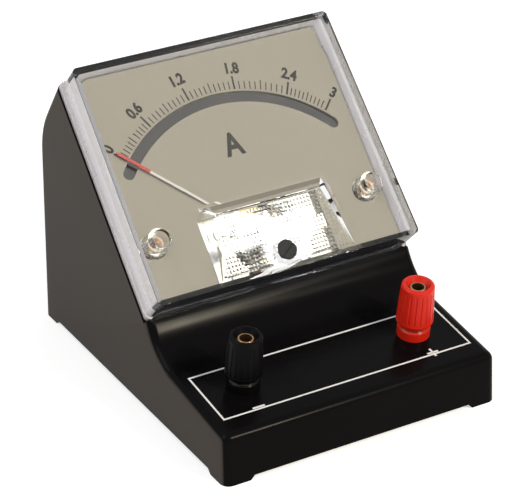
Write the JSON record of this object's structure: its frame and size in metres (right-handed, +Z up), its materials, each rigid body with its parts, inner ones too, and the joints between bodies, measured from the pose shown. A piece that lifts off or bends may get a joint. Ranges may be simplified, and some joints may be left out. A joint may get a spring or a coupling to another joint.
{
  "type": "desktop analog panel meter",
  "caption": "Bench ammeter for teaching: moulded case with a tilted dial under a clear cover, pointer movement, and two 4 mm binding posts on the front ledge.",
  "frame": {"origin": "middle of the base, on the surface that the meter stands on", "axes": "+X to the right of the reader, +Y from the front ledge to the back, +Z up"},
  "size_m": [0.098, 0.1254, 0.0985],
  "materials": {
    "black_moulding": "satin moulded",
    "clear_moulding": "clear polished",
    "dial_paint": "matt",
    "black_ink": "printed",
    "white_ink": "printed",
    "mirror": "polished",
    "steel": "plain",
    "nickel": "nickel plated",
    "iron": "plain",
    "brass": "plain",
    "aluminium": "plain",
    "winding": "enamelled wire",
    "red_moulding": "moulded",
    "white_moulding": "moulded",
    "pointer_paint": "painted tip",
    "resistance_strip": "plain"
  },
  "bodies": {
    "case": {"housing": "black_moulding", "bottom_plate": "black_moulding", "bottom_screws": "steel", "cover": "clear_moulding", "cover_screws": "brass", "dial_plate": "dial_paint", "scale_marks": "black_ink", "scale_mirror": "mirror", "dial_spacers": "brass", "movement_bracket": "steel", "bracket_screws": "steel", "pole_shoes": "iron", "field_magnet": "iron", "iron_core": "iron", "core_supports": "brass", "upper_bridge": "brass", "lower_bridge": "brass", "upper_jewel": "brass", "lower_jewel": "brass", "pointer_stops": "steel", "upper_hairspring": "brass", "lower_hairspring": "brass", "black_collar": "black_moulding", "black_stud": "nickel", "black_nut": "brass", "red_collar": "red_moulding", "red_stud": "nickel", "red_nut": "brass", "insulators": "white_moulding", "solder_tags": "brass", "shunt": "resistance_strip", "minus_lead": "black_moulding", "plus_lead": "red_moulding", "ledge_frame": "white_ink"},
    "moving_coil": {"coil_former": "aluminium", "coil_winding": "winding", "upper_staff": "steel", "lower_staff": "steel", "pointer": "pointer_paint", "balance_weights": "brass"},
    "zero_screw": {"zero_adjuster": "clear_moulding"},
    "zero_arm": {"zero_lever": "brass"},
    "black_clamp": {"black_washer": "nickel"},
    "black_head": {"black_knob": "black_moulding"},
    "red_clamp": {"red_washer": "nickel"},
    "red_head": {"red_knob": "red_moulding"}
  },
  "joints": [
    {"name": "pointer_swing", "type": "hinge", "parent": "case", "child": "moving_coil", "pos_m": [0, -0.00705, 0.04565], "axis": [0, 0.7071, -0.7071], "range_deg": [-3, 91], "stiffness_Nm_per_rad": 0.00002, "deforming": ["upper_hairspring", "lower_hairspring"]},
    {"name": "zero_screw_turn", "type": "hinge", "parent": "case", "child": "zero_screw", "pos_m": [0, -0.01497, 0.0448], "axis": [0, -0.7071, 0.7071], "range_deg": [-25, 25]},
    {"name": "zero_arm_turn", "type": "hinge", "parent": "case", "child": "zero_arm", "pos_m": [0, -0.00903, 0.04763], "axis": [0, -0.7071, 0.7071], "range_deg": [-3, 3]},
    {"name": "black_clamp_lift", "type": "slide", "parent": "case", "child": "black_clamp", "axis": [0, -0.1305, 0.9914], "range_m": [0, 0.004]},
    {"name": "black_head_turn", "type": "hinge", "parent": "black_clamp", "child": "black_head", "pos_m": [-0.0308, -0.0434, 0.02967], "axis": [0, -0.1305, 0.9914], "range_deg": [0, 1441]},
    {"name": "red_clamp_lift", "type": "slide", "parent": "case", "child": "red_clamp", "axis": [0, -0.1305, 0.9914], "range_m": [0, 0.004]},
    {"name": "red_head_turn", "type": "hinge", "parent": "red_clamp", "child": "red_head", "pos_m": [0.0308, -0.0434, 0.02967], "axis": [0, -0.1305, 0.9914], "range_deg": [0, 1441]}
  ],
  "couplings": [
    {"joint": "zero_arm_turn", "follows": "zero_screw_turn", "ratio": 0.11429},
    {"joint": "black_head_turn", "follows": "black_clamp_lift", "rad_per_m": 6283.2},
    {"joint": "red_head_turn", "follows": "red_clamp_lift", "rad_per_m": 6283.2}
  ]
}
